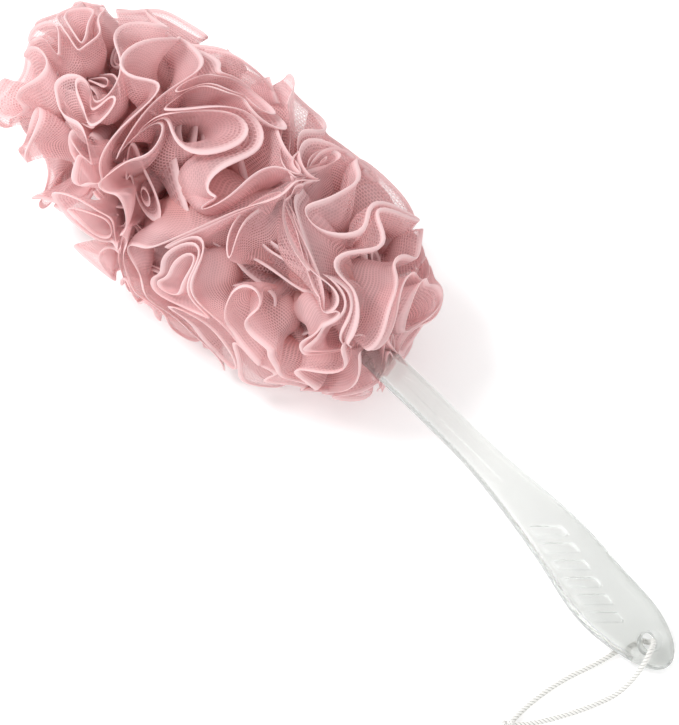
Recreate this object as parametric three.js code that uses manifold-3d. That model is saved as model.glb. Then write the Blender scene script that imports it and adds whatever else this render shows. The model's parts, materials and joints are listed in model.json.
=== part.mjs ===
// Back scrubber: a clear moulded handle with a head of gathered netting and a hanging cord.
// Millimetres, +Z up. It lies on the plane z = 0: the long axis runs along X, the head at -X.
import * as THREE from 'three';
import { mergeVertices } from 'three/addons/utils/BufferGeometryUtils.js';
import Module from 'manifold-3d';

const wasm = await Module();
wasm.setup();

// Driving dimensions
const LENGTH = 400;
const HEAD_LENGTH = 225;
const HEAD_RADIUS = 59;
const HEAD_ROUNDING = 2.3;
const TIERS = 6;
const GAP = 0.3;

const HALF = LENGTH / 2;
const HEAD_X = -HALF + HEAD_LENGTH / 2 - 0.26;

// Centre line of the handle: straight through the head, then arched down to the tip
const STRAIGHT_END_X = 40;
const STRAIGHT_END_Z = 42.5;
const HEAD_SLOPE = 0.0875;
const ARCH = 0.00105;

// Grip and neck
const NECK_X = 16;
const TIP_X = HALF;
const NECK_HALF_WIDTH = 7.2;
const GRIP_HALF_WIDTH = 15.4;
const WIDENING = [35, 130];
const TIP_LENGTH = 36;
const NECK_HALF_THICKNESS = 4.6;
const GRIP_HALF_THICKNESS = 5.3;
const TIP_EDGE_LENGTH = 12;
const SECTION_POWER = 2.8;
const SWAY = 2.6;
const SWAY_X = 160;
const SWAY_SPREAD = 20;

// Slanted recesses of the grip, the channel down the neck and the hang hole
const RECESSES = 6;
const RECESS_PITCH = 8.25;
const RECESS_FIRST_X = 126.6;
const RECESS_LENGTH = 5.8;
const RECESS_HALF_WIDTH = 5.8;
const RECESS_DEPTH = 1.8;
const RECESS_SLANT = 0.85;
const RECESS_OFFSET_Y = -2.5;
const RECESS_DRIFT_Y = -1.43;
const CHANNEL_X = [30, 104];
const CHANNEL_HALF_WIDTH = 2.6;
const CHANNEL_DEPTH = 1.3;
const HOLE_X = 187.5;
const HOLE_RADIUS = 4.5;

// Stem inside the head
const STEM_RADIUS = 5;
const STEM_END_X = -172;
const COLLAR_RADIUS = 7.6;
const COLLAR_WIDTH = 2.4;
const KNOB_RADIUS = 7.2;

// Tiers of netting and their ties
const BORE_RADIUS = 9.2;
const TIE_RADIUS = 6.5;
const TIE_CORD_RADIUS = 1.1;
const TIE_KNOT_RADIUS = 1.9;
const END_TIE_SHIFT = 15;

// Hanging cord
const CORD_RADIUS = 1.2;
const KNOT_RADIUS = 2.6;

const CLEAR = new THREE.MeshStandardMaterial({ color: 0xe3e6e2, roughness: 0.12, transparent: true, opacity: 0.4 });
const NET = new THREE.MeshStandardMaterial({ color: 0xdcaaaf, roughness: 0.85 });
const TIE = new THREE.MeshStandardMaterial({ color: 0xe6c3c4, roughness: 0.6 });
const WHITE_CORD = new THREE.MeshStandardMaterial({ color: 0xf3f2ef, roughness: 0.7 });

const smooth = (from, to, v) => THREE.MathUtils.smoothstep(v, from, to);

// Height and slope of the centre line at x
function centreZ(x) {
  const past = Math.max(x - STRAIGHT_END_X, 0);
  return STRAIGHT_END_Z - HEAD_SLOPE * (x - STRAIGHT_END_X) - ARCH * past * past;
}

function slopeAt(x) {
  return Math.atan(HEAD_SLOPE + 2 * ARCH * Math.max(x - STRAIGHT_END_X, 0));
}

// The grip bends a little to one side
function sway(x) {
  return -SWAY * Math.exp(-(((x - SWAY_X) / SWAY_SPREAD) ** 2));
}

// Half width and half thickness at a distance back from the tip
function halfWidth(back) {
  const [near, far] = WIDENING;
  const widened = 1 - smooth(near, far, back);
  const body = NECK_HALF_WIDTH + (GRIP_HALF_WIDTH - NECK_HALF_WIDTH) * widened;
  const left = Math.max(1 - back / TIP_LENGTH, 0);
  return body * Math.sqrt(1 - left * left);
}

function halfThickness(back) {
  const widened = 1 - smooth(WIDENING[0], WIDENING[1], back);
  const body = NECK_HALF_THICKNESS + (GRIP_HALF_THICKNESS - NECK_HALF_THICKNESS) * widened;
  const left = Math.max(1 - back / TIP_EDGE_LENGTH, 0);
  return body * Math.sqrt(1 - left * left);
}

// A geometry as a manifold solid, and back
function toSolid(geometry) {
  const plain = geometry.clone();
  plain.deleteAttribute('normal');
  plain.deleteAttribute('uv');
  const merged = mergeVertices(plain, 1e-4);
  const mesh = new wasm.Mesh({
    numProp: 3,
    vertProperties: new Float32Array(merged.attributes.position.array),
    triVerts: new Uint32Array(merged.index.array),
  });
  return new wasm.Manifold(mesh);
}

function toGeometry(solid) {
  const mesh = solid.getMesh();
  const geometry = new THREE.BufferGeometry();
  geometry.setAttribute('position', new THREE.BufferAttribute(new Float32Array(mesh.vertProperties), 3));
  geometry.setIndex(new THREE.BufferAttribute(new Uint32Array(mesh.triVerts), 1));
  geometry.computeVertexNormals();
  return geometry;
}

function named(name, geometry, material) {
  const mesh = new THREE.Mesh(geometry, material);
  mesh.name = name;
  return mesh;
}

// Everything above the plane that the object lies on
function aboveFloor(solid) {
  const block = new THREE.BoxGeometry(2 * LENGTH, LENGTH, LENGTH);
  block.translate(0, 0, LENGTH / 2);
  return solid.intersect(toSolid(block));
}

// Turns a shape modelled along +X at the origin onto the centre line at x
function ontoCentreLine(geometry, x) {
  geometry.rotateY(slopeAt(x));
  geometry.translate(x, 0, centreZ(x));
  return geometry;
}

// Turns a LatheGeometry, whose axis is Y, onto the straight centre line of the head
function ontoStem(geometry) {
  geometry.rotateZ(-Math.PI / 2);
  return ontoCentreLine(geometry, HEAD_X);
}

// Grip and neck: a rounded section carried along the arched centre line
function gripBody() {
  const rings = 36;
  const around = 24;
  const closest = 0.7;
  const body = new THREE.CylinderGeometry(1, 1, 1, around, rings);
  const position = body.attributes.position;
  for (let i = 0; i < position.count; i += 1) {
    const along = 0.5 - position.getY(i);
    const back = closest + (TIP_X - NECK_X - closest) * along ** 1.5;
    const x = TIP_X - back;
    const reach = Math.hypot(position.getX(i), position.getZ(i));
    const turn = Math.atan2(position.getZ(i), position.getX(i));
    const c = Math.cos(turn);
    const s = Math.sin(turn);
    const across = -Math.sign(c) * Math.abs(c) ** (2 / SECTION_POWER) * halfWidth(back) * reach;
    const up = Math.sign(s) * Math.abs(s) ** (2 / SECTION_POWER) * halfThickness(back) * reach;
    const slope = slopeAt(x);
    position.setXYZ(i, x + up * Math.sin(slope), sway(x) + across, centreZ(x) + up * Math.cos(slope));
  }
  return body;
}

// The six slanted recesses in the upper face
function recess(index) {
  const x = RECESS_FIRST_X + index * RECESS_PITCH;
  const half = RECESS_LENGTH / 2;
  const lean = RECESS_SLANT * RECESS_HALF_WIDTH;
  const outline = new THREE.Shape([
    new THREE.Vector2(-half - lean, -RECESS_HALF_WIDTH),
    new THREE.Vector2(half - lean, -RECESS_HALF_WIDTH),
    new THREE.Vector2(half + lean, RECESS_HALF_WIDTH),
    new THREE.Vector2(-half + lean, RECESS_HALF_WIDTH),
  ]);
  const cutter = new THREE.ExtrudeGeometry(outline, { depth: 6, bevelEnabled: false });
  cutter.translate(0, RECESS_OFFSET_Y + index * RECESS_DRIFT_Y, halfThickness(TIP_X - x) - RECESS_DEPTH);
  return ontoCentreLine(cutter, x);
}

// The long channel in the upper face of the neck
function channel() {
  const steps = 24;
  const [from, to] = CHANNEL_X;
  const outline = new THREE.Shape();
  outline.moveTo(from, centreZ(from) + 12);
  for (let i = 0; i <= steps; i += 1) {
    const x = from + ((to - from) * i) / steps;
    const run = Math.sin((Math.PI * i) / steps) ** 0.35;
    outline.lineTo(x, centreZ(x) + halfThickness(TIP_X - x) + 1 - (CHANNEL_DEPTH + 1) * run);
  }
  outline.lineTo(to, centreZ(from) + 12);
  const cutter = new THREE.ExtrudeGeometry(outline, { depth: 2 * CHANNEL_HALF_WIDTH, bevelEnabled: false });
  cutter.rotateX(Math.PI / 2);
  cutter.translate(0, CHANNEL_HALF_WIDTH, 0);
  return cutter;
}

function hangHole() {
  const cutter = new THREE.CylinderGeometry(HOLE_RADIUS, HOLE_RADIUS, 30, 24);
  cutter.rotateX(Math.PI / 2);
  return ontoCentreLine(cutter, HOLE_X);
}

// Places of the ties along the stem, one in each tier
const sliceLength = HEAD_LENGTH / TIERS;
const sliceStart = (i) => -HEAD_LENGTH / 2 + i * sliceLength;
const tieAlong = (i) => sliceStart(i) + sliceLength / 2 + (i === 0 ? END_TIE_SHIFT : 0);

// The stem inside the head: a round bar with an end knob and a collar between one tier and the next
function stem() {
  const end = STEM_END_X - HEAD_X;
  const start = NECK_X + 6 - HEAD_X;
  const profile = [new THREE.Vector2(0, end), new THREE.Vector2(KNOB_RADIUS - 1.5, end)];
  profile.push(new THREE.Vector2(KNOB_RADIUS, end + 1.5), new THREE.Vector2(KNOB_RADIUS, end + 3));
  profile.push(new THREE.Vector2(STEM_RADIUS, end + 4.5));
  for (let i = 1; i < TIERS; i += 1) {
    const middle = sliceStart(i) + (i === 1 ? 6 : 0);
    const low = middle - COLLAR_WIDTH / 2;
    const high = middle + COLLAR_WIDTH / 2;
    profile.push(new THREE.Vector2(STEM_RADIUS, low - 1), new THREE.Vector2(COLLAR_RADIUS, low));
    profile.push(new THREE.Vector2(COLLAR_RADIUS, high), new THREE.Vector2(STEM_RADIUS, high + 1));
  }
  profile.push(new THREE.Vector2(STEM_RADIUS, start), new THREE.Vector2(0, start));
  return ontoStem(new THREE.LatheGeometry(profile, 24));
}

// The whole clear moulding
function handle() {
  let solid = toSolid(gripBody()).add(toSolid(stem()));
  solid = solid.subtract(toSolid(channel())).subtract(toSolid(hangHole()));
  for (let i = 0; i < RECESSES; i += 1) {
    solid = solid.subtract(toSolid(recess(i)));
  }
  return named('handle', toGeometry(aboveFloor(solid)), CLEAR);
}

// Radius of the head at a distance along its axis from its middle
function headRadius(along) {
  const part = Math.min(Math.abs((2 * along) / HEAD_LENGTH), 1);
  return HEAD_RADIUS * (1 - part ** HEAD_ROUNDING) ** (1 / HEAD_ROUNDING);
}

// One tier of netting: the room that the gathered net fills, flattened where it lies on the plane
function tier(i) {
  const steps = 6;
  const from = sliceStart(i) + (i === 0 ? 0 : GAP / 2);
  const to = sliceStart(i + 1) - GAP / 2;
  const profile = [];
  for (let k = 0; k <= steps; k += 1) {
    const ease = i === 0 ? (k / steps) ** 2 : 1 - (1 - k / steps) ** (i === TIERS - 1 ? 2 : 1);
    const along = from + (to - from) * ease;
    profile.push(new THREE.Vector2(Math.max(headRadius(along), i === 0 ? 0 : BORE_RADIUS + 1), along));
  }
  if (i === 0) {
    const bottom = STEM_END_X - HEAD_X - 2;
    profile.push(new THREE.Vector2(BORE_RADIUS, to), new THREE.Vector2(BORE_RADIUS, bottom));
    profile.push(new THREE.Vector2(0, bottom));
  } else {
    profile.push(new THREE.Vector2(BORE_RADIUS, to), new THREE.Vector2(BORE_RADIUS, from));
    profile.push(profile[0].clone());
  }
  const solid = toSolid(ontoStem(new THREE.LatheGeometry(profile, 32)));
  return named(`netting_${i + 1}`, toGeometry(aboveFloor(solid)), NET);
}

// The binding cord of a tier: a turn round the stem with its knot on top
function tie(i) {
  const ring = new THREE.TorusGeometry(TIE_RADIUS, TIE_CORD_RADIUS, 6, 20);
  ring.rotateY(Math.PI / 2);
  const knot = new THREE.SphereGeometry(TIE_KNOT_RADIUS, 8, 6);
  knot.translate(0, 0, TIE_RADIUS + 0.4);
  const geometry = toGeometry(toSolid(ring).add(toSolid(knot)));
  geometry.translate(tieAlong(i), 0, 0);
  return named(`tie_${i + 1}`, ontoCentreLine(geometry, HEAD_X), TIE);
}

// The two runs of the hanging cord, from the middle of the hang hole to the knot on the plane
const holeZ = centreZ(HOLE_X);
const holeSlope = slopeAt(HOLE_X);
const inHole = (up, y = 0, forward = 0) => new THREE.Vector3(
  HOLE_X + up * Math.sin(holeSlope) + forward * Math.cos(holeSlope),
  y,
  holeZ + up * Math.cos(holeSlope) - forward * Math.sin(holeSlope),
);
const KNOT_AT = new THREE.Vector3(171.8, -70.5, KNOT_RADIUS);

const OVER = [
  inHole(0.2), inHole(2.5), inHole(5, -0.2, 0.1), inHole(7.4, -1.4, 0.6), inHole(9.1, -3.8, 1.5),
  new THREE.Vector3(193.6, -7.2, 16.2), new THREE.Vector3(194.7, -11, 14.2), new THREE.Vector3(195, -14.8, 10.6),
  new THREE.Vector3(194.8, -18.4, 6.8), new THREE.Vector3(194.2, -22.4, 3.7), new THREE.Vector3(193.2, -27, 1.9),
  new THREE.Vector3(191.6, -32, 1.3), new THREE.Vector3(188.9, -39.5, 1.3), new THREE.Vector3(185.1, -48, 1.3),
  new THREE.Vector3(180.8, -56.2, 1.3), new THREE.Vector3(176.8, -62.8, 1.6), new THREE.Vector3(173.9, -66.9, 2.2),
];
const UNDER = [
  inHole(-0.2), inHole(-1.1), inHole(-2.3, -0.1, -0.7), inHole(-3.9, -0.4, -1.9), new THREE.Vector3(183.4, -1.2, 2.3),
  new THREE.Vector3(182.2, -3.2, 1.42), new THREE.Vector3(181, -6, 1.3), new THREE.Vector3(179.4, -12.4, 1.3),
  new THREE.Vector3(177.8, -20, 1.3), new THREE.Vector3(175.9, -27, 1.3), new THREE.Vector3(173.7, -34.4, 1.3),
  new THREE.Vector3(172, -42.6, 1.3), new THREE.Vector3(171, -50.6, 1.3), new THREE.Vector3(170.6, -58.5, 1.5),
  new THREE.Vector3(170.8, -63.5, 1.9), new THREE.Vector3(171.2, -66.6, 2.3),
];

function cordRun(name, route) {
  const section = new THREE.Shape();
  for (let k = 0; k < 8; k += 1) {
    const turn = (2 * Math.PI * k) / 8;
    const point = [CORD_RADIUS * Math.cos(turn), CORD_RADIUS * Math.sin(turn)];
    if (k === 0) {
      section.moveTo(...point);
    } else {
      section.lineTo(...point);
    }
  }
  const path = new THREE.CatmullRomCurve3(route);
  const tube = new THREE.ExtrudeGeometry(section, { steps: 30, bevelEnabled: false, extrudePath: path });
  return named(name, tube, WHITE_CORD);
}

function hangKnot() {
  const knot = new THREE.SphereGeometry(KNOT_RADIUS, 14, 10);
  knot.scale(1.15, 1.25, 1);
  knot.translate(KNOT_AT.x, KNOT_AT.y, KNOT_AT.z);
  return named('hang_knot', knot, WHITE_CORD);
}

const scrubber = new THREE.Group();
scrubber.add(handle());
for (let i = 0; i < TIERS; i += 1) {
  scrubber.add(tier(i), tie(i));
}
scrubber.add(cordRun('hang_cord_over', OVER), cordRun('hang_cord_under', UNDER), hangKnot());

export default scrubber;
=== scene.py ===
"""Back scrubber: netting head on a clear handle with a hanging cord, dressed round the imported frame."""
import json
from math import atan, copysign, cos, exp, pi, radians, sin, sqrt

import bmesh
import bpy
import numpy as np
from mathutils import Matrix, Vector

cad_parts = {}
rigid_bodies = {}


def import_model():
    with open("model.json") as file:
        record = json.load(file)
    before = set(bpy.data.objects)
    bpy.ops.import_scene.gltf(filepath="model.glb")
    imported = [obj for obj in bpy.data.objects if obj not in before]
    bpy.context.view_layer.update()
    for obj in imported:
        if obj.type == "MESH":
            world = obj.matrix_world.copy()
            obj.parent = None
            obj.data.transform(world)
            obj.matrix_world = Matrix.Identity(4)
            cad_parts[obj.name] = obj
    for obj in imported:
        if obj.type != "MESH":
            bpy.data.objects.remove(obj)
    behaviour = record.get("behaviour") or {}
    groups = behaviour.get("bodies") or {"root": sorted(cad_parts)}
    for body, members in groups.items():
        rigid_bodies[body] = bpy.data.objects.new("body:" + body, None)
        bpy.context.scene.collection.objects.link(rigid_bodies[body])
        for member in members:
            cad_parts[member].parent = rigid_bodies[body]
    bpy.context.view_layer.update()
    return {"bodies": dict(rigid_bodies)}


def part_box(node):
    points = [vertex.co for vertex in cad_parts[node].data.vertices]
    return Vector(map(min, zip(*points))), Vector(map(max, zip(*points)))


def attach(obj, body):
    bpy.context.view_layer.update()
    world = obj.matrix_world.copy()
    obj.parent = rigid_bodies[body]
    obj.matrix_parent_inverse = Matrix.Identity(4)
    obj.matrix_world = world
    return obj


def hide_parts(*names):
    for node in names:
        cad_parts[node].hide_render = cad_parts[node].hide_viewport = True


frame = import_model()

MM = 0.001
BODY = next(iter(frame["bodies"]))

# ---------------------------------------------------------------- the camera, the lights and the floor

CAMERA_AZIMUTH = radians(46)
CAMERA_ELEVATION = radians(60)
CAMERA_DISTANCE = 1.293
CAMERA_LENS = 149.0
CAMERA_AIM = Vector((0.0202, -0.0239, 0.0682))
SENSOR = 36.0
WORLD_STRENGTH = 0.74
# Disk lamps: where each stands, how wide it is, and its power in watts
LAMPS = {"key": ((-0.9, -0.5, 1.5), 0.8, 19), "fill": ((1.2, -1.1, 1.2), 1.2, 6)}
FLOOR_SIZE = 6
FLOOR_DROP = 0.5 * MM


def camera():
    """A long lens above and in front of the scrubber, which lies on the floor."""
    back = Vector((
        sin(CAMERA_AZIMUTH) * cos(CAMERA_ELEVATION),
        -cos(CAMERA_AZIMUTH) * cos(CAMERA_ELEVATION),
        sin(CAMERA_ELEVATION),
    ))
    data = bpy.data.cameras.new("camera")
    data.lens = CAMERA_LENS
    data.sensor_width = SENSOR
    data.clip_end = 50
    piece = bpy.data.objects.new("camera", data)
    piece.location = CAMERA_AIM + back * CAMERA_DISTANCE
    piece.rotation_mode = "QUATERNION"
    piece.rotation_quaternion = (-back).to_track_quat("-Z", "Y")
    bpy.context.collection.objects.link(piece)
    bpy.context.scene.camera = piece


def area_light(name, place, size, power):
    """A white disk lamp that faces the middle of the floor."""
    data = bpy.data.lights.new(name, "AREA")
    data.shape = "DISK"
    data.size = size
    data.energy = power
    lamp = bpy.data.objects.new(name, data)
    lamp.location = place
    lamp.rotation_mode = "QUATERNION"
    lamp.rotation_quaternion = (-Vector(place)).to_track_quat("-Z", "Y")
    bpy.context.collection.objects.link(lamp)


def lights():
    """A soft white room, a key lamp from the left and a weak fill from the front."""
    world = bpy.data.worlds.new("studio")
    world.use_nodes = True
    world.node_tree.nodes["Background"].inputs["Color"].default_value = (1, 1, 1, 1)
    world.node_tree.nodes["Background"].inputs["Strength"].default_value = WORLD_STRENGTH
    bpy.context.scene.world = world
    for name, (place, size, power) in LAMPS.items():
        area_light(name, place, size, power)
    bpy.context.scene.view_settings.view_transform = "Standard"


def floor():
    """The board that the scrubber lies on, a hair below it so that the two don't touch."""
    bm = bmesh.new()
    bmesh.ops.create_grid(bm, x_segments=1, y_segments=1, size=FLOOR_SIZE)
    mesh = bpy.data.meshes.new("floor")
    bm.to_mesh(mesh)
    bm.free()
    mesh.materials.append(lit_board())
    piece = bpy.data.objects.new("floor", mesh)
    piece.location.z = -FLOOR_DROP
    bpy.context.collection.objects.link(piece)


# ---------------------------------------------------------------- materials


def linear(code):
    """An sRGB hex colour as the linear colour that a shader takes."""
    parts = [int(code[i:i + 2], 16) / 255 for i in (0, 2, 4)]
    return tuple(c / 12.92 if c <= 0.04045 else ((c + 0.055) / 1.055) ** 2.4 for c in parts) + (1.0,)


class Shader:
    """A material's node tree: add() puts in one node with its settings and its links."""

    def __init__(self, name):
        self.material = bpy.data.materials.new(name)
        self.material.use_nodes = True
        self.tree = self.material.node_tree
        self.tree.nodes.clear()
        self.output = self.tree.nodes.new("ShaderNodeOutputMaterial")

    def add(self, kind, inputs=None, **settings):
        node = self.tree.nodes.new("ShaderNode" + kind)
        for key, value in settings.items():
            setattr(node, key, value)
        for key, value in (inputs or {}).items():
            if isinstance(value, bpy.types.NodeSocket):
                self.tree.links.new(value, node.inputs[key])
            else:
                node.inputs[key].default_value = value
        return node

    def maths(self, operation, *values):
        return self.add("Math", dict(enumerate(values)), operation=operation).outputs[0]

    def mix(self, share, first, second):
        inputs = {"Factor": share, 6: first, 7: second}
        return self.add("Mix", inputs, data_type="RGBA").outputs[2]

    def ramp(self, value, low, high):
        inputs = {"Value": value, "From Min": low, "From Max": high}
        return self.add("MapRange", inputs, interpolation_type="SMOOTHSTEP").outputs[0]

    def finish(self, surface):
        self.tree.links.new(surface.outputs[0], self.output.inputs["Surface"])
        return self.material


def lit_board():
    """White opal board, lit a little from behind, so that shadows on it stay faint."""
    s = Shader("opal_board")
    return s.finish(s.add("BsdfPrincipled", {
        "Base Color": linear("ffffff"), "Roughness": 0.9, "Specular IOR Level": 0.1,
        "Emission Color": (1, 1, 1, 1), "Emission Strength": 0.2,
    }))


def knitted_netting():
    """Soft polyethylene netting, knitted as a tube: dusty pink, with a painted highlight, a paler band,
    along the folded edge, and painted shade, a darker salmon, deeper down the folds towards the gathers.
    Its openings are painted dark red-brown
    as well, as painted shade seen through them. One layer alone lets much light through. The cloth map is
    in millimetres:
    along the fold, and down from it. The rows of openings, 1.4 by 1.0 mm, are drawn about twice as coarse
    as the real ones, so that they show."""
    s = Shader("knitted_polyethylene_netting")
    uv = s.add("UVMap", uv_map="cloth").outputs[0]
    flat = s.add("SeparateXYZ", {0: uv})
    depth = flat.outputs[1]
    place = s.add("TexCoord").outputs["Object"]
    wander = s.add("TexNoise", {"Vector": place, "Scale": 60.0, "Detail": 2.0})
    push = s.add("VectorMath", {0: wander.outputs["Color"], "Scale": 1.4}, operation="SCALE").outputs[0]
    bent = s.add("VectorMath", {0: uv, 1: push}, operation="ADD").outputs[0]
    rows = s.add(
        "TexBrick",
        {
            "Vector": bent, "Color1": (0, 0, 0, 1), "Color2": (0, 0, 0, 1), "Mortar": (1, 1, 1, 1),
            "Scale": 1.0, "Mortar Size": 0.25, "Mortar Smooth": 0.5, "Brick Width": 1.4, "Row Height": 1.0,
        },
        offset=0.5,
    )
    opening = s.maths("SUBTRACT", 1.0, rows.outputs["Color"])
    patches = s.add("TexNoise", {"Vector": place, "Scale": 40.0, "Detail": 1.0}).outputs["Fac"]
    stretched = s.maths("MULTIPLY_ADD", s.ramp(patches, 0.38, 0.62), 0.75, 0.25)
    off_edge = s.ramp(depth, 0.1, 2.4)
    dash = s.maths("MULTIPLY", s.maths("MULTIPLY", opening, off_edge), stretched)
    shallow = s.ramp(depth, 30.0, 16.0)
    airy = s.maths("MULTIPLY_ADD", s.ramp(depth, 13.0, 4.0), 0.3, 0.2)
    thin = s.maths("MULTIPLY_ADD", dash, 0.35, s.maths("MULTIPLY", off_edge, airy))
    see = s.maths("MULTIPLY", thin, shallow)
    # Painted shade: deeper down the folds, towards the gathers, the net is coloured a darker salmon.
    deep = s.ramp(depth, 5.0, 38.0)
    cloud = s.add("TexNoise", {"Vector": place, "Scale": 18.0, "Detail": 3.0}).outputs["Fac"]
    face = s.mix(s.ramp(cloud, 0.3, 0.7), linear("fadcde"), linear("f5d1d4"))
    inside = s.mix(deep, face, linear("e8aca9"))
    # Painted highlight: a paler band along the folded edge.
    rim_highlight = s.ramp(depth, 2.0, 0.0)
    rim_highlighted = s.mix(rim_highlight, inside, linear("fae4e5"))
    # Painted shade: the openings are coloured dark red-brown, standing in for the shaded inside seen
    # through them.
    colour = s.mix(s.maths("MULTIPLY", dash, 0.5), rim_highlighted, linear("bf736e"))
    body = s.add("BsdfPrincipled", {
        "Base Color": colour, "Roughness": 0.75, "Sheen Weight": 0.25, "Sheen Roughness": 0.4,
        "Specular IOR Level": 0.25,
    })
    glow = s.add("BsdfTranslucent", {"Color": s.mix(0.4, colour, linear("f4bab5"))})
    cloth = s.add("MixShader", {0: 0.35, 1: body.outputs[0], 2: glow.outputs[0]})
    clear = s.add("BsdfTransparent")
    return s.finish(s.add("MixShader", {0: see, 1: cloth.outputs[0], 2: clear.outputs[0]}))


# ---------------------------------------------------------------- helpers for pieces


def add_piece(name, bm, material, nodes):
    """A finished piece of the scrubber that takes the place of the named CAD nodes."""
    mesh = bpy.data.meshes.new(name)
    bm.to_mesh(mesh)
    bm.free()
    mesh.materials.append(material)
    mesh.shade_smooth()
    piece = bpy.data.objects.new(name, mesh)
    bpy.context.collection.objects.link(piece)
    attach(piece, BODY)
    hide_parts(*nodes)
    return piece


def lay_grid(bm, placed, flat):
    """A grid of faces through rows of points. flat gives each point's place on the unrolled cloth."""
    cloth = bm.loops.layers.uv.get("cloth") or bm.loops.layers.uv.new("cloth")
    rows, columns = placed.shape[:2]
    grid = bmesh.ops.create_grid(bm, x_segments=columns - 1, y_segments=rows - 1, size=1)
    order = {}
    for k, vert in enumerate(grid["verts"]):
        vert.co = placed[k // columns, k % columns]
        order[vert] = divmod(k, columns)
    for face in {f for v in grid["verts"] for f in v.link_faces}:
        for loop in face.loops:
            loop[cloth].uv = flat[order[loop.vert]]


# ---------------------------------------------------------------- the netting head

TIERS = 6
# From the stem's centre line to the outside of a tie
TIE_REACH = 7.6 * MM
# The power of the rounded outline: 2 is an ellipse, more is fuller
HEAD_ROUNDING = 2.6
HEAD_FILL = 0.97
GATHER_RADIUS = 9.0 * MM


def stem_point(name):
    """The stem's centre at the named tie."""
    low, high = (Vector(v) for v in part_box(name))
    return Vector(((low.x + high.x) / 2, 0, low.z + TIE_REACH))


STEM_FIRST, STEM_LAST = stem_point("tie_1"), stem_point(f"tie_{TIERS}")
AXIS = (STEM_LAST - STEM_FIRST).normalized()
UPWARD = Vector((0, 1, 0)).cross(AXIS) * -1
HEAD_RADIUS = (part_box("netting_3")[1][1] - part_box("netting_3")[0][1]) / 2 * HEAD_FILL
HEAD_HALF = 112.5 * MM
head_low, head_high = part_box("netting_1")[0][0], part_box(f"netting_{TIERS}")[1][0]
MIDDLE = STEM_FIRST + AXIS * (((head_low + head_high) / 2 - STEM_FIRST.x) / AXIS.x)
# Head axes as the columns of a turn: along the stem, across, and up
TURN = np.array([AXIS, Vector((0, 1, 0)), UPWARD]).T


class Waves:
    """A smooth random field in space: a sum of plane waves of about one wavelength."""

    def __init__(self, seed, wavelength, count=40, spread=0.25, channels=1):
        draw = np.random.default_rng(seed)
        ways = draw.normal(size=(count, 3))
        ways /= np.linalg.norm(ways, axis=1)[:, None]
        self.waves = ways * (2 * pi / (wavelength * draw.uniform(1 - spread, 1 + spread, count)))[:, None]
        self.phase = draw.uniform(0, 2 * pi, (channels, count))
        self.size = (2 / count) ** 0.5

    def __call__(self, points):
        turns = points @ self.waves.T
        made = [np.cos(turns + p).sum(1) * self.size for p in self.phase]
        return made[0] if len(made) == 1 else np.stack(made, 1)


def smoothstep(low, high, value):
    """0 below low, 1 above high, and a smooth rise between them."""
    part = np.clip((value - low) / (high - low), 0, 1)
    return part * part * (3 - 2 * part)


def head_skin():
    """Points and triangles of the head's plain rounded outline, in head axes from its middle."""
    bm = bmesh.new()
    bmesh.ops.create_icosphere(bm, subdivisions=7, radius=1)
    mesh = bpy.data.meshes.new("skin")
    bm.to_mesh(mesh)
    bm.free()
    points = np.empty(len(mesh.vertices) * 3)
    mesh.vertices.foreach_get("co", points)
    triangles = np.empty(len(mesh.polygons) * 3, dtype=np.int64)
    mesh.polygons.foreach_get("vertices", triangles)
    bpy.data.meshes.remove(mesh)
    points = points.reshape(-1, 3)
    round_it = np.linalg.norm(points[:, 1:], axis=1)
    reach = np.maximum(1 - np.abs(points[:, 0]) ** HEAD_ROUNDING, 0) ** (1 / HEAD_ROUNDING)
    points[:, 1:] *= (reach / np.maximum(round_it, 1e-9) * HEAD_RADIUS)[:, None]
    points[:, 0] *= HEAD_HALF
    return points, triangles.reshape(-1, 3)


FOLD_STEP = 2.0 * MM
LINE_SMOOTHING = 30
WALL_SMOOTHING = 12

TIER_EDGES = (np.arange(1, TIERS) / TIERS * 2 - 1) * HEAD_HALF
LOBE_WAVE = 22 * MM
# Layers of ruffles: the seed of their waves, how far out they reach, the levels that they follow, and
# how far their tiers' borders are moved along, so that inner ruffles lie under the outer borders
LAYERS = [(41, 1.0, (-0.75, 0.0, 0.75), 0.0), (31, 0.7, (-0.5, 0.3), HEAD_HALF / TIERS)]
boundary_wander = Waves(11, 42 * MM)
WANDER = 8 * MM
BORDER_STRENGTH = 3.2
BORDER_WIDTH = 1.9 * MM


def fold_field(points, seed, moved):
    """A random field whose level lines are the folded edges. It rises along the wandering borders
    between the tiers, so that no edge crosses them."""
    along = points[:, 0] + boundary_wander(points) * WANDER + moved
    apart = np.abs(along[:, None] - TIER_EDGES[None, :]).min(1)
    lobes = Waves(seed, LOBE_WAVE, count=60, spread=0.12)
    return lobes(points) + BORDER_STRENGTH * np.exp(-((apart / BORDER_WIDTH) ** 2))


def folded_edges(points, triangles, field, level):
    """The folded edges at one level of the field, as closed lines of points on the head's outline."""
    value = field - level
    value[value == 0] = 1e-9
    sides = [(0, 1), (1, 2), (2, 0)]
    links = {}
    crossed = value[triangles] > 0
    for t in np.nonzero((crossed.sum(1) > 0) & (crossed.sum(1) < 3))[0]:
        cut = []
        for a, b in sides:
            i, j = sorted((int(triangles[t, a]), int(triangles[t, b])))
            if (value[i] > 0) != (value[j] > 0):
                cut.append((i, j))
        links.setdefault(cut[0], []).append(cut[1])
        links.setdefault(cut[1], []).append(cut[0])
    lines = []
    left = set(links)
    for start in links:
        if start not in left:
            continue
        line, here = [], start
        while here is not None:
            left.discard(here)
            line.append(here)
            here = next((n for n in links[here] if n in left), None)
        ends = np.array(line)
        share = value[ends[:, 0]] / (value[ends[:, 0]] - value[ends[:, 1]])
        lines.append(points[ends[:, 0]] + (points[ends[:, 1]] - points[ends[:, 0]]) * share[:, None])
    return lines


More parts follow.
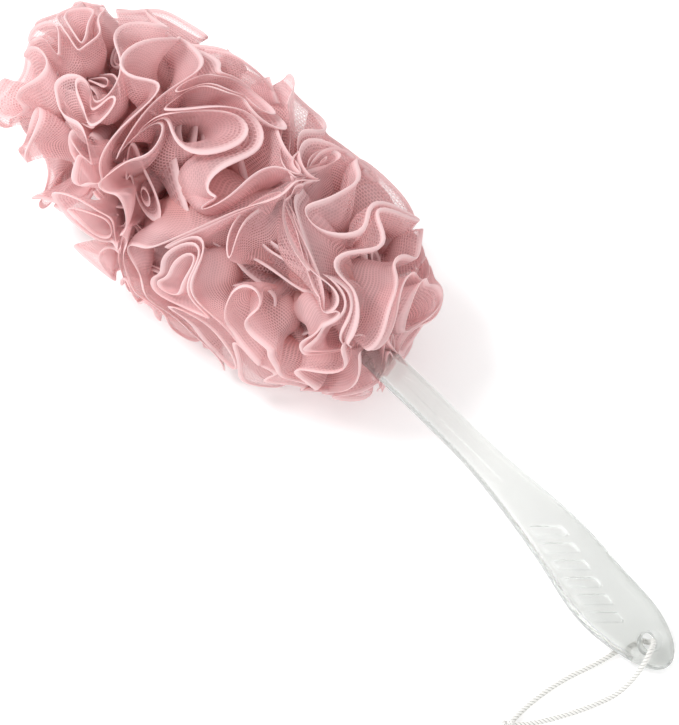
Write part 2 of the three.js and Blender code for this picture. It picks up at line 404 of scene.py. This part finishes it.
def evenly(line, step):
    """A closed line again, with points a step apart and its small kinks smoothed away, and its length."""
    for _ in range(LINE_SMOOTHING):
        line = (np.roll(line, 1, 0) + 2 * line + np.roll(line, -1, 0)) / 4
    closed = np.vstack([line, line[:1]])
    far = np.concatenate([[0], np.linalg.norm(np.diff(closed, axis=0), axis=1).cumsum()])
    count = max(int(far[-1] / step), 12)
    at = np.linspace(0, far[-1], count, endpoint=False)
    return np.stack([np.interp(at, far, closed[:, k]) for k in range(3)], 1), far[-1]


SHORTEST_FOLD = 68 * MM
NARROWEST_FOLD = 4.2 * MM
RIM_RADIUS = 0.38 * MM
RETURN_GAP = 5 * MM
# Each tier is one length of netting tube, laid flat before it was gathered on its tie
# The first tier's net is gathered no nearer than this to the head's end
GATHER_DEPTH = 58 * MM
# Net below this height is pressed together, so that it stays above the floor
LOWEST_NET = 8 * MM

# How far each field moves the net
LEAN, lean_field = 7 * MM, Waves(5, 80 * MM, channels=3)
CURL, curl_field = 3.2 * MM, Waves(6, 42 * MM, channels=3)
HEIGHT, height_field = 0.055, Waves(7, 34 * MM)
BULGE, bulge_field = 4 * MM, Waves(8, 26 * MM)
PLEAT, pleat_field = 0.5 * MM, Waves(9, 11 * MM)
ROLL, roll_field = 2.5 * MM, Waves(12, 30 * MM)
# The whole head sits a little to one side of the stem, and more so towards the grip
SKEW = 0.06
SKEW_START = 2 * MM

# Shares of the way from the tie to the fold, turns round the fold, and shares of the way back
OUTWARD_ROWS = 1 - (1 - np.linspace(0, 1, 17)) ** 1.35
RIM_ROWS = np.linspace(0, pi, 6)[1:-1]
RETURN_ROWS = 1 - np.linspace(0, 1, 11) ** 1.35 * 0.6


def outwardness(points):
    """How far out points lie in the head: 0 at its middle, 1 on its outline."""
    along = np.abs(points[:, 0]) / HEAD_HALF
    across = np.linalg.norm(points[:, 1:], axis=1) / HEAD_RADIUS
    return (along ** HEAD_ROUNDING + across ** HEAD_ROUNDING) ** (1 / HEAD_ROUNDING)


def ruffle(line, gather):
    """The wall of net under one closed folded edge: out from the tie to the fold, round it, and part
    of the way back as the tube's other side. Gives rows of points, and their depths below the fold."""
    radial = line.copy()
    radial[:, 0] = 0
    out = radial / np.linalg.norm(radial, axis=1)[:, None]
    tall = 1 + HEIGHT * height_field(line)
    crest = line * np.stack([0.5 + 0.5 * tall, tall, tall], 1)
    base = out * GATHER_RADIUS
    base[:, 0] = gather + 0.12 * (line[:, 0] - gather)
    ahead = np.roll(line, -1, 0) - np.roll(line, 1, 0)
    wall = crest - base
    side = np.cross(ahead, wall)
    side /= np.linalg.norm(side, axis=1)[:, None]
    up = wall / np.linalg.norm(wall, axis=1)[:, None]
    wall_length = np.linalg.norm(wall, axis=1)
    rows = []
    for h in OUTWARD_ROWS:
        rows.append((base + wall * h, h, wall_length * (1 - h)))
    for turn in RIM_ROWS:
        centre = crest + side * RIM_RADIUS
        point = centre - side * RIM_RADIUS * cos(turn) + up * RIM_RADIUS * sin(turn)
        rows.append((point, 1.0, 0 * wall_length))
    for h in RETURN_ROWS:
        loose = RIM_RADIUS * 2 + (1 - h) * RETURN_GAP
        rows.append((base + wall * h + side * loose, h, wall_length * (1 - h)))
    made = []
    for point, h, deep in rows:
        shift = lean_field(point) * LEAN + curl_field(point) * CURL
        bulge = bulge_field(point) * BULGE * sin(pi * h) + pleat_field(line) * PLEAT * h
        bulge += roll_field(line) * ROLL * h ** 5
        moved = point + shift * h ** 1.6 + side * bulge[:, None]
        # It leans and bulges along the outline, and hardly in or out
        moved *= ((outwardness(point) / outwardness(moved)) ** (0.9 * h))[:, None]
        moved[:, 1] += (moved[:, 0] * SKEW + SKEW_START) * h
        made.append(moved)
    made = np.array(made)
    for _ in range(WALL_SMOOTHING):
        made = (np.roll(made, 1, 1) + 2 * made + np.roll(made, -1, 1)) / 4
    return made, np.array([deep for _, _, deep in rows])


def to_world(points):
    """Points in head axes as points in the frame. The net that would reach the floor is pressed flat."""
    world = points @ TURN.T + np.array(MIDDLE)
    under = world[:, 2] < LOWEST_NET
    world[under, 2] = LOWEST_NET * np.exp((world[under, 2] - LOWEST_NET) / LOWEST_NET)
    return world


def netting_tier(index, lines, material):
    """All ruffles of one tier as one piece."""
    gather = float((np.array(stem_point(f"tie_{index + 1}")) - np.array(MIDDLE)) @ TURN[:, 0])
    gather = max(gather, GATHER_DEPTH - HEAD_HALF)
    bm = bmesh.new()
    for line in lines:
        points, length = evenly(line, FOLD_STEP)
        made, depth = ruffle(points, gather)
        made = np.concatenate([made, made[:, :1]], 1)
        depth = np.concatenate([depth, depth[:, :1]], 1) / MM
        along = np.tile(np.linspace(0, length / MM, made.shape[1]), (len(made), 1))
        placed = to_world(made.reshape(-1, 3)).reshape(made.shape)
        lay_grid(bm, placed, np.stack([along, depth], 2))
    bmesh.ops.remove_doubles(bm, verts=bm.verts, dist=1e-6)
    piece = add_piece(f"net_{index + 1}", bm, material, [f"netting_{index + 1}"])


def netting_head():
    """Shares the folded edges out to the tiers, and makes each tier from its own."""
    material = knitted_netting()
    tiers = [[] for _ in range(TIERS)]
    points, triangles = head_skin()
    for seed, reach, levels, moved in LAYERS:
        field = fold_field(points, seed, moved)
        for line in [edge for level in levels for edge in folded_edges(points, triangles, field, level)]:
            # Short folds are left out, though fewer of the inner ones, and so are slivers
            length = np.linalg.norm(np.diff(line, axis=0), axis=1).sum()
            inside = np.linalg.norm(np.cross(line, np.roll(line, -1, 0)).sum(0)) / 2
            if length < SHORTEST_FOLD * reach ** 3 or 2 * inside / length < NARROWEST_FOLD:
                continue
            centre = line[:, 0] + boundary_wander(line) * WANDER
            tier = int(np.searchsorted(TIER_EDGES, centre.mean()))
            tiers[tier].append(line * np.array([0.5 + 0.5 * reach, reach, reach]))
    for index, lines in enumerate(tiers):
        netting_tier(index, lines, material)


# ---------------------------------------------------------------- the handle

# The centre line: straight through the head, arched past it, and swayed to one side at the grip
HEAD_X = -87.76 * MM
STRAIGHT_END_X = 40 * MM
STRAIGHT_END_Z = 42.5 * MM
HEAD_SLOPE = 0.0875
ARCH = 0.00105 / MM
SWAY = 2.6 * MM
SWAY_X = 160 * MM
SWAY_SPREAD = 20 * MM

# Widths and thicknesses, by the distance back from the tip
NECK_X = 16 * MM
TIP_X = 200 * MM
NEAREST_TO_TIP = 0.08 * MM
NECK_HALF_WIDTH = 7.2 * MM
GRIP_HALF_WIDTH = 15.4 * MM
WIDENING = (35 * MM, 130 * MM)
TIP_LENGTH = 36 * MM
NECK_HALF_THICKNESS = 4.6 * MM
GRIP_HALF_THICKNESS = 5.3 * MM
TIP_EDGE_LENGTH = 12 * MM
SECTION_POWER = 2.8

RECESSES = 6
RECESS_PITCH = 8.25 * MM
RECESS_FIRST_X = 126.6 * MM
RECESS_LENGTH = 5.8 * MM
RECESS_WIDTH = 11.6 * MM
RECESS_DEPTH = 2.2 * MM
RECESS_SLANT = 0.85
RECESS_OFFSET_Y = -2.5 * MM
RECESS_DRIFT_Y = -1.43 * MM
RECESS_CUTTER_HEIGHT = 6 * MM
CHANNEL_X = (30 * MM, 104 * MM)
CHANNEL_WIDTH = 5.2 * MM
CHANNEL_DEPTH = 1.3 * MM
CHANNEL_CUTTER_TOP = 12 * MM
HOLE_X = 187.5 * MM
HOLE_RADIUS = 4.5 * MM
HOLE_CUTTER_HEIGHT = 24 * MM
HOLE_FLARE = 0.9 * MM
HOLE_FLARE_DEPTH = 1.1 * MM

STEM_RADIUS = 5 * MM
STEM_END = -84.24 * MM
STEM_START = 109.76 * MM
KNOB_RADIUS = 7.2 * MM
KNOB_BEVEL = 1.5 * MM
COLLAR_RADIUS = 7.6 * MM
COLLAR_WIDTH = 2.4 * MM
# The first collar stands further in, past the first tie
FIRST_COLLAR_SHIFT = 6 * MM

SURFACE_GRAIN = 0.6 * MM
FLOOR_CLEARANCE = 0.05 * MM


def clear_polystyrene():
    """Clear moulded polystyrene, IOR 1.59: polished in the mould, a little grey, and darker where it is
    seen edge on and the light goes through more of it."""
    s = Shader("clear_moulded_polystyrene")
    facing = s.add("LayerWeight", {"Blend": 0.4}).outputs["Facing"]
    tint = s.mix(facing, linear("f3f4f2"), linear("c3c8c5"))
    glass = s.add("BsdfPrincipled", {
        "Base Color": tint, "Roughness": 0.03, "IOR": 1.59, "Transmission Weight": 0.9,
    })
    clear = s.add("BsdfTransparent", {"Color": linear("eef0ee")})
    return s.finish(s.add("MixShader", {0: 0.15, 1: glass.outputs[0], 2: clear.outputs[0]}))


def centre_height(x):
    """The height of the handle's centre line at x."""
    past = max(x - STRAIGHT_END_X, 0)
    return STRAIGHT_END_Z - HEAD_SLOPE * (x - STRAIGHT_END_X) - ARCH * past * past


def on_centre_line(x, across, up, forward=0.0):
    """The point beside, above and ahead of the handle's centre line at x."""
    slope = atan(HEAD_SLOPE + 2 * ARCH * max(x - STRAIGHT_END_X, 0))
    return Vector((
        x + up * sin(slope) + forward * cos(slope),
        across,
        centre_height(x) + up * cos(slope) - forward * sin(slope),
    ))


def half_width(back):
    """Half the handle's width at a distance back from its tip."""
    body = NECK_HALF_WIDTH + (GRIP_HALF_WIDTH - NECK_HALF_WIDTH) * (1 - smoothstep(*WIDENING, back))
    return body * sqrt(1 - max(1 - back / TIP_LENGTH, 0) ** 2)


def half_thickness(back):
    """Half the handle's thickness at a distance back from its tip."""
    widened = 1 - smoothstep(*WIDENING, back)
    body = NECK_HALF_THICKNESS + (GRIP_HALF_THICKNESS - NECK_HALF_THICKNESS) * widened
    return body * sqrt(1 - max(1 - back / TIP_EDGE_LENGTH, 0) ** 2)


def rounded(turned):
    """One coordinate of a circle's point, moved out to the handle's squarer section."""
    return copysign(abs(turned) ** (2 / SECTION_POWER), turned)


def loose_object(name, bm):
    """A shape for the Booleans, which isn't a piece of its own."""
    mesh = bpy.data.meshes.new(name)
    bmesh.ops.recalc_face_normals(bm, faces=bm.faces)
    bm.to_mesh(mesh)
    bm.free()
    piece = bpy.data.objects.new(name, mesh)
    bpy.context.collection.objects.link(piece)
    return piece


def long_cylinder(segments, cuts):
    """A cylinder of radius 1 and length 1 along Z, with rings of points along it."""
    bm = bmesh.new()
    bmesh.ops.create_cone(bm, cap_ends=True, segments=segments, radius1=1, radius2=1, depth=1)
    upright = [e for e in bm.edges if abs(e.verts[0].co.z - e.verts[1].co.z) > 0.5]
    bmesh.ops.subdivide_edges(bm, edges=upright, cuts=cuts)
    return bm


def grip_and_neck():
    """A rounded section carried along the arched centre line."""
    bm = long_cylinder(56, 120)
    for vert in bm.verts:
        # Closer rings towards the tip
        back = NEAREST_TO_TIP + (TIP_X - NECK_X - NEAREST_TO_TIP) * (0.5 - vert.co.z) ** 1.5
        x = TIP_X - back
        sideways = -SWAY * exp(-(((x - SWAY_X) / SWAY_SPREAD) ** 2))
        across = sideways + rounded(vert.co.x) * half_width(back)
        vert.co = on_centre_line(x, across, rounded(vert.co.y) * half_thickness(back))
    return loose_object("grip", bm)


def stem():
    """The round bar inside the head, with its end knob and a collar between each two tiers."""
    tier = 2 * HEAD_HALF / TIERS
    profile = [(STEM_END, 0), (STEM_END, KNOB_RADIUS - KNOB_BEVEL), (STEM_END + KNOB_BEVEL, KNOB_RADIUS)]
    profile += [(STEM_END + 2 * KNOB_BEVEL, KNOB_RADIUS), (STEM_END + 3 * KNOB_BEVEL, STEM_RADIUS)]
    for i in range(1, TIERS):
        middle = -HEAD_HALF + i * tier + (FIRST_COLLAR_SHIFT if i == 1 else 0)
        low, high = middle - COLLAR_WIDTH / 2, middle + COLLAR_WIDTH / 2
        profile += [(low - MM, STEM_RADIUS), (low, COLLAR_RADIUS), (high, COLLAR_RADIUS)]
        profile += [(high + MM, STEM_RADIUS)]
    profile += [(STEM_START, STEM_RADIUS), (STEM_START, 0)]
    bm = bmesh.new()
    verts = [bm.verts.new((along, 0, radius)) for along, radius in profile]
    edges = [bm.edges.new(pair) for pair in zip(verts, verts[1:])]
    turn = {"cent": (0, 0, 0), "axis": (1, 0, 0), "angle": 2 * pi, "steps": 32, "use_merge": True}
    bmesh.ops.spin(bm, geom=verts + edges, **turn)
    bmesh.ops.remove_doubles(bm, verts=bm.verts, dist=1e-6)
    for vert in bm.verts:
        vert.co = on_centre_line(HEAD_X, vert.co.y, vert.co.z, vert.co.x)
    return loose_object("stem", bm)


def recesses():
    """The six slanted recesses of the grip."""
    bm = bmesh.new()
    for index in range(RECESSES):
        x = RECESS_FIRST_X + index * RECESS_PITCH
        floor_height = half_thickness(TIP_X - x) - RECESS_DEPTH
        for vert in bmesh.ops.create_cube(bm, size=1)["verts"]:
            along, across, up = vert.co
            forward = along * RECESS_LENGTH + RECESS_SLANT * across * RECESS_WIDTH
            side = RECESS_OFFSET_Y + index * RECESS_DRIFT_Y + across * RECESS_WIDTH
            vert.co = on_centre_line(x, side, floor_height + (up + 0.5) * RECESS_CUTTER_HEIGHT, forward)
    return loose_object("recesses", bm)


def channel():
    """The long shallow channel down the neck."""
    bm = long_cylinder(4, 40)
    start, end = CHANNEL_X
    for vert in bm.verts:
        share = min(max(vert.co.z + 0.5, 0), 1)
        x = start + (end - start) * share
        # It starts and ends a millimetre above the surface
        drop = (CHANNEL_DEPTH + MM) * sin(pi * share) ** 0.35
        low = centre_height(x) + half_thickness(TIP_X - x) + MM - drop
        high = centre_height(x) + CHANNEL_CUTTER_TOP
        # The four corners of the section point along the diagonals
        corner = Matrix.Rotation(pi / 4, 2) @ vert.co.xy
        vert.co = (x, copysign(CHANNEL_WIDTH / 2, corner.x), low if corner.y < 0 else high)
    return loose_object("channel", bm)


def hang_hole():
    """The round hole near the tip, opened out a little at both faces."""
    bm = long_cylinder(40, 50)
    thick = half_thickness(TIP_X - HOLE_X)
    for vert in bm.verts:
        up = vert.co.z * HOLE_CUTTER_HEIGHT
        flare = min(max((abs(up) - thick) / HOLE_FLARE_DEPTH + 1, 0), 1.6)
        radius = HOLE_RADIUS + HOLE_FLARE * flare * flare
        vert.co = on_centre_line(HOLE_X, vert.co.y * radius, up, vert.co.x * radius)
    return loose_object("hang_hole", bm)


def handle():
    """The whole clear moulding as one closed surface, with its edges softened as moulded ones are."""
    body = grip_and_neck()
    others = [stem(), recesses(), channel(), hang_hole()]
    for other in others:
        cut = body.modifiers.new(other.name, "BOOLEAN")
        cut.object = other
        cut.operation = "UNION" if other.name == "stem" else "DIFFERENCE"
        cut.solver = "EXACT"
    even = body.modifiers.new("even", "REMESH")
    even.mode = "VOXEL"
    even.voxel_size = SURFACE_GRAIN
    soften = body.modifiers.new("soften", "SMOOTH")
    soften.factor = 0.5
    soften.iterations = 3
    shape = body.evaluated_get(bpy.context.evaluated_depsgraph_get()).to_mesh()
    bm = bmesh.new()
    bm.from_mesh(shape)
    for piece in [body] + others:
        bpy.data.objects.remove(piece)
    for vert in bm.verts:
        vert.co.z = max(vert.co.z, FLOOR_CLEARANCE)
    add_piece("clear_handle", bm, clear_polystyrene(), ["handle"])


# ---------------------------------------------------------------- cords and their knots

CORD_RADIUS = 1.2 * MM
CORD_PITCH = 5.2 * MM
TIE_RING_RADIUS = 6.5 * MM
TIE_CORD_RADIUS = 1.05 * MM
# Where the loop is knotted, how far its two tails reach past the knot, and how thick the knotted cord is
KNOT_AT = Vector((171.8, -70.5, 2.6)) * MM
TAIL_ENDS = [Vector((-4.6, -8.4, -1.1)) * MM, Vector((1.2, -9.6, -1.1)) * MM]
KNOTTED_RADIUS = 1.1 * MM


def twisted_cord(name, groove_shade, face):
    """Three-strand twisted polypropylene cord: soft sheen, painted shade darker in the grooves between the
    strands, and fibres about 0.4 mm apart."""
    s = Shader(name)
    strand = s.add("SeparateXYZ", {0: s.add("UVMap", uv_map="cloth").outputs[0]})
    place = s.add("TexCoord").outputs["Object"]
    fibres = s.add("TexNoise", {"Vector": place, "Scale": 2600.0, "Detail": 2.0})
    # Painted shade: the grooves between the strands get the darker colour.
    light = s.mix(s.ramp(strand.outputs[1], 0.15, 0.6), linear(groove_shade), linear(face))
    relief = s.add("Bump", {"Height": fibres.outputs["Fac"], "Strength": 0.25, "Distance": 0.15 * MM})
    return s.finish(s.add("BsdfPrincipled", {
        "Base Color": light, "Roughness": 0.6, "Sheen Weight": 0.3, "Normal": relief.outputs[0],
    }))


def smooth_route(points, step=0.5 * MM):
    """A curve through the points, as points a step apart, and its length."""
    points = np.array([list(p) for p in points])
    before = np.vstack([2 * points[0] - points[1], points[:-1]])
    after = np.vstack([points[1:], 2 * points[-1] - points[-2]])
    pull = (after - before) / 2
    made = []
    for t in np.linspace(0, 1, 24, endpoint=False):
        a, b = 2 * t ** 3 - 3 * t ** 2 + 1, t ** 3 - 2 * t ** 2 + t
        c, d = -2 * t ** 3 + 3 * t ** 2, t ** 3 - t ** 2
        made.append(a * points[:-1] + b * pull[:-1] + c * points[1:] + d * pull[1:])
    fine = np.vstack([np.stack(made, 1).reshape(-1, 3), points[-1:]])
    far = np.concatenate([[0], np.linalg.norm(np.diff(fine, axis=0), axis=1).cumsum()])
    at = np.linspace(0, far[-1], max(int(far[-1] / step), 8) + 1)
    return np.stack([np.interp(at, far, fine[:, k]) for k in range(3)], 1), far[-1]


def add_cord(bm, route, length, radius, turns=None, strands=3, around=18):
    """A twisted cord along the route. A route that ends where it began makes a ring."""
    ring = np.linalg.norm(route[0] - route[-1]) < 1e-6
    ahead = np.gradient(route, axis=0)
    if ring:
        ahead[0] = ahead[-1] = ahead[0] + ahead[-1]
    ahead /= np.linalg.norm(ahead, axis=1)[:, None]
    side = np.cross(ahead[0], [0.3, 0.2, 1.0])
    rows = []
    turns = length / CORD_PITCH if turns is None else turns
    for k, point in enumerate(route):
        side = side - ahead[k] * (side @ ahead[k])
        side = side / np.linalg.norm(side)
        other = np.cross(ahead[k], side)
        rows.append((point, side, other))
    drift = 0.0
    if ring:
        last = rows[-1][1]
        drift = float(np.arctan2(last @ rows[0][2], last @ rows[0][1]))
    angles = np.linspace(0, 2 * pi, around + 1)
    placed, lobes = [], []
    for k, (point, side, other) in enumerate(rows):
        share = k / (len(rows) - 1)
        turned = angles - drift * share
        lobe = np.abs(np.cos(strands * (angles - 2 * pi * turns * share) / 2))
        reach = radius * (0.76 + 0.26 * lobe)
        outward = np.cos(turned)[:, None] * side + np.sin(turned)[:, None] * other
        placed.append(point + reach[:, None] * outward)
        lobes.append(lobe)
    placed = np.array(placed)
    along = np.repeat(np.linspace(0, length / MM, len(rows))[:, None], around + 1, 1)
    lay_grid(bm, placed, np.stack([along, np.array(lobes)], 2))


def close_cords(bm):
    """Joins each cord's seam and closes its cut ends."""
    bmesh.ops.remove_doubles(bm, verts=bm.verts, dist=1e-6)
    bmesh.ops.holes_fill(bm, edges=[e for e in bm.edges if e.is_boundary], sides=0)
    bmesh.ops.recalc_face_normals(bm, faces=bm.faces)


def knot_route(middle, size, height, turn=0.0):
    """A trefoil: the cord's way through an overhand knot."""
    made = []
    for t in np.linspace(0, 2 * pi, 60):
        flat = Vector((sin(t) + 2 * sin(2 * t), cos(t) - 2 * cos(2 * t), 0)) * size
        made.append(Matrix.Rotation(turn, 3, "Z") @ flat + middle + Vector((0, 0, -sin(3 * t) * height)))
    made[-1] = made[0]
    return np.array([list(p) for p in made])


def line_length(points):
    """The length of a line of points."""
    return float(np.linalg.norm(np.diff(points, axis=0), axis=1).sum())


def ties():
    """Each tier's binding cord round the stem, with a small knot on top."""
    material = twisted_cord("twisted_tie_cord", "c98f90", "efccce")
    for index in range(TIERS):
        middle = stem_point(f"tie_{index + 1}")
        turns = np.linspace(0, 2 * pi, 72)
        route = np.array([
            list(middle + (Vector((0, cos(t), 0)) + UPWARD * sin(t)) * TIE_RING_RADIUS) for t in turns
        ])
        route[-1] = route[0]
        bm = bmesh.new()
        add_cord(bm, route, line_length(route), TIE_CORD_RADIUS, turns=8, around=12)
        knot = knot_route(middle + UPWARD * (TIE_RING_RADIUS + 0.6 * MM), 0.42 * MM, 0.5 * MM)
        add_cord(bm, knot, line_length(knot), 0.5 * MM, turns=6, around=9)
        close_cords(bm)
        add_piece(f"tie_cord_{index + 1}", bm, material, [f"tie_{index + 1}"])


def in_hole(up, across=0.0, forward=0.0):
    """A place by the hang hole's middle, in millimetres, as the cord's given points are."""
    return on_centre_line(HOLE_X, across * MM, up * MM, forward * MM) / MM


def route_over():
    """The run that comes up out of the hole, bends over the grip's edge and lies down to the knot."""
    points = [in_hole(0.2), in_hole(2.5), in_hole(5, -0.2, 0.1), in_hole(7.4, -1.4, 0.6)]
    points += [in_hole(9.1, -3.8, 1.5), (193.6, -7.2, 16.2), (194.7, -11, 14.2), (195, -14.8, 10.6)]
    points += [(194.8, -18.4, 6.8), (194.2, -22.4, 3.7), (193.2, -27, 1.9), (191.6, -32, 1.4)]
    points += [(188.9, -39.5, 1.4), (185.1, -48, 1.4), (180.8, -56.2, 1.4), (176.8, -62.8, 1.6)]
    points += [(173.9, -66.9, 2.2), (172.6, -69.0, 2.4)]
    return points


def route_under():
    """The run that drops out of the hole and lies on the floor under the grip, on its way to the knot."""
    points = [in_hole(-0.2), in_hole(-1.1), in_hole(-2.3, -0.1, -0.7), in_hole(-3.9, -0.4, -1.9)]
    points += [(183.4, -1.2, 2.3), (182.2, -3.2, 1.42), (181, -6, 1.35), (179.4, -12.4, 1.35)]
    points += [(177.8, -20, 1.35), (175.9, -27, 1.35), (173.7, -34.4, 1.35), (172, -42.6, 1.35)]
    points += [(171, -50.6, 1.35), (170.6, -58.5, 1.5), (170.8, -63.5, 1.9), (171.3, -68.0, 2.4)]
    return points


def cord_knot(material):
    """The overhand knot that joins the two runs, with its two short tails."""
    bm = bmesh.new()
    knot = knot_route(KNOT_AT, 0.8 * MM, 1.2 * MM, 0.4)
    add_cord(bm, knot, line_length(knot), KNOTTED_RADIUS, turns=9)
    for end in TAIL_ENDS:
        bend = Vector((end.x * 0.4, end.y * 0.4, -0.6 * MM))
        route, length = smooth_route([KNOT_AT, KNOT_AT + bend, KNOT_AT + end])
        add_cord(bm, route, length, KNOTTED_RADIUS)
    close_cords(bm)
    return add_piece("cord_knot", bm, material, ["hang_knot"])


def cord_run(name, points, node, material):
    """One run of the loop, from the middle of the hang hole to the knot."""
    route, length = smooth_route([Vector(p) * MM for p in points])
    bm = bmesh.new()
    add_cord(bm, route, length, CORD_RADIUS)
    close_cords(bm)
    piece = add_piece(name, bm, material, [node])


def hanging_cord():
    """One loop of cord: two runs from the middle of the hang hole to the knot that joins them."""
    material = twisted_cord("twisted_white_cord", "a3a29e", "ebeae6")
    knotted = cord_knot(material)
    cord_run("cord_over", route_over(), "hang_cord_over", material)
    cord_run("cord_under", route_under(), "hang_cord_under", material)


# ---------------------------------------------------------------- everything

camera()
lights()
floor()
netting_head()
handle()
ties()
hanging_cord()
